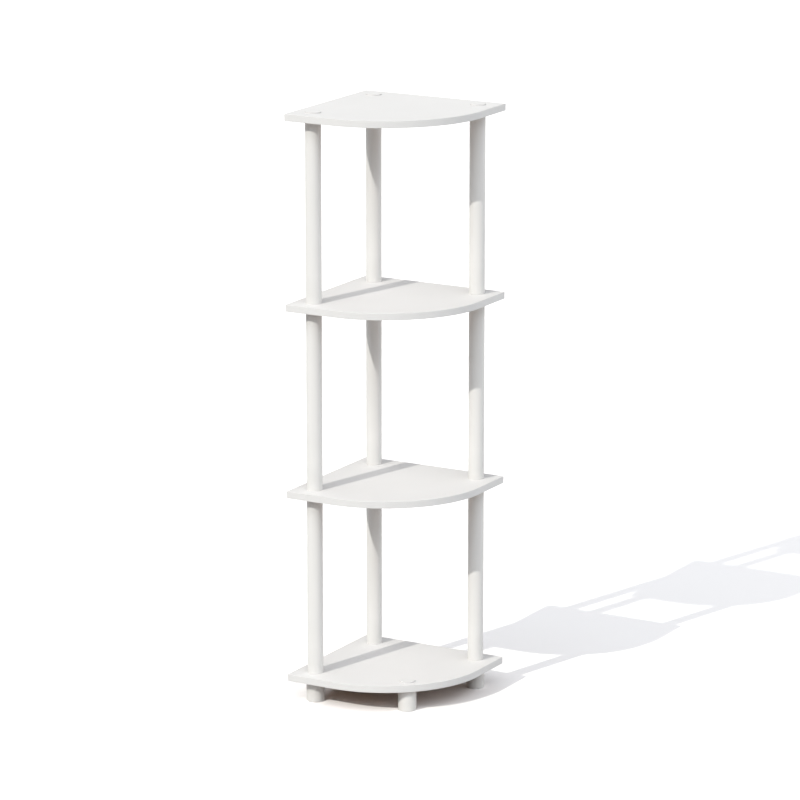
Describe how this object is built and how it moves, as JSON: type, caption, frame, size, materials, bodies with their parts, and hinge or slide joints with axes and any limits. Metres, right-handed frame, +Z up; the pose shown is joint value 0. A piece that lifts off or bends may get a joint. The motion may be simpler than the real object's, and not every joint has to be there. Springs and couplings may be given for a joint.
{
  "type": "corner shelf unit",
  "caption": "Free-standing corner shelf: flat boards with straight wall sides and a rounded front, on round tube posts that screw together through the boards, with short round feet.",
  "frame": {"origin": "centre of the square footprint, at floor level", "axes": "+Z up; the boards' straight wall sides face -X and +Y, so the room corner is behind -X +Y, and the rounded front corner points to +X -Y"},
  "size_m": [0.294, 0.294, 1.1064],
  "materials": {
    "board_core": "bare pressed chipboard, matt, flecked",
    "top_foil": "smooth white decor foil, satin",
    "edge_band": "white plastic edging, satin",
    "tube": "white extruded plastic tube, satin",
    "insert": "off-white moulded plastic, matt",
    "foot": "white moulded plastic, satin",
    "screw_cap": "white moulded plastic, satin"
  },
  "bodies": {
    "root": {"board_core_1": "board_core", "board_core_2": "board_core", "board_core_3": "board_core", "board_core_4": "board_core", "top_foil_1": "top_foil", "top_foil_2": "top_foil", "top_foil_3": "top_foil", "top_foil_4": "top_foil", "edge_band_1": "edge_band", "edge_band_2": "edge_band", "edge_band_3": "edge_band", "edge_band_4": "edge_band", "tube_corner_1": "tube", "tube_corner_2": "tube", "tube_corner_3": "tube", "tube_left_1": "tube", "tube_left_2": "tube", "tube_left_3": "tube", "tube_right_1": "tube", "tube_right_2": "tube", "tube_right_3": "tube", "stud_insert_corner_1": "insert", "stud_insert_corner_2": "insert", "stud_insert_corner_3": "insert", "stud_insert_left_1": "insert", "stud_insert_left_2": "insert", "stud_insert_left_3": "insert", "stud_insert_right_1": "insert", "stud_insert_right_2": "insert", "stud_insert_right_3": "insert", "socket_insert_corner_1": "insert", "socket_insert_corner_2": "insert", "socket_insert_corner_3": "insert", "socket_insert_left_1": "insert", "socket_insert_left_2": "insert", "socket_insert_left_3": "insert", "socket_insert_right_1": "insert", "socket_insert_right_2": "insert", "socket_insert_right_3": "insert", "foot_corner": "foot", "foot_left": "foot", "foot_right": "foot", "foot_front": "foot", "screw_cap_corner": "screw_cap", "screw_cap_left": "screw_cap", "screw_cap_right": "screw_cap", "screw_cap_front": "screw_cap"}
  },
  "joints": []
}
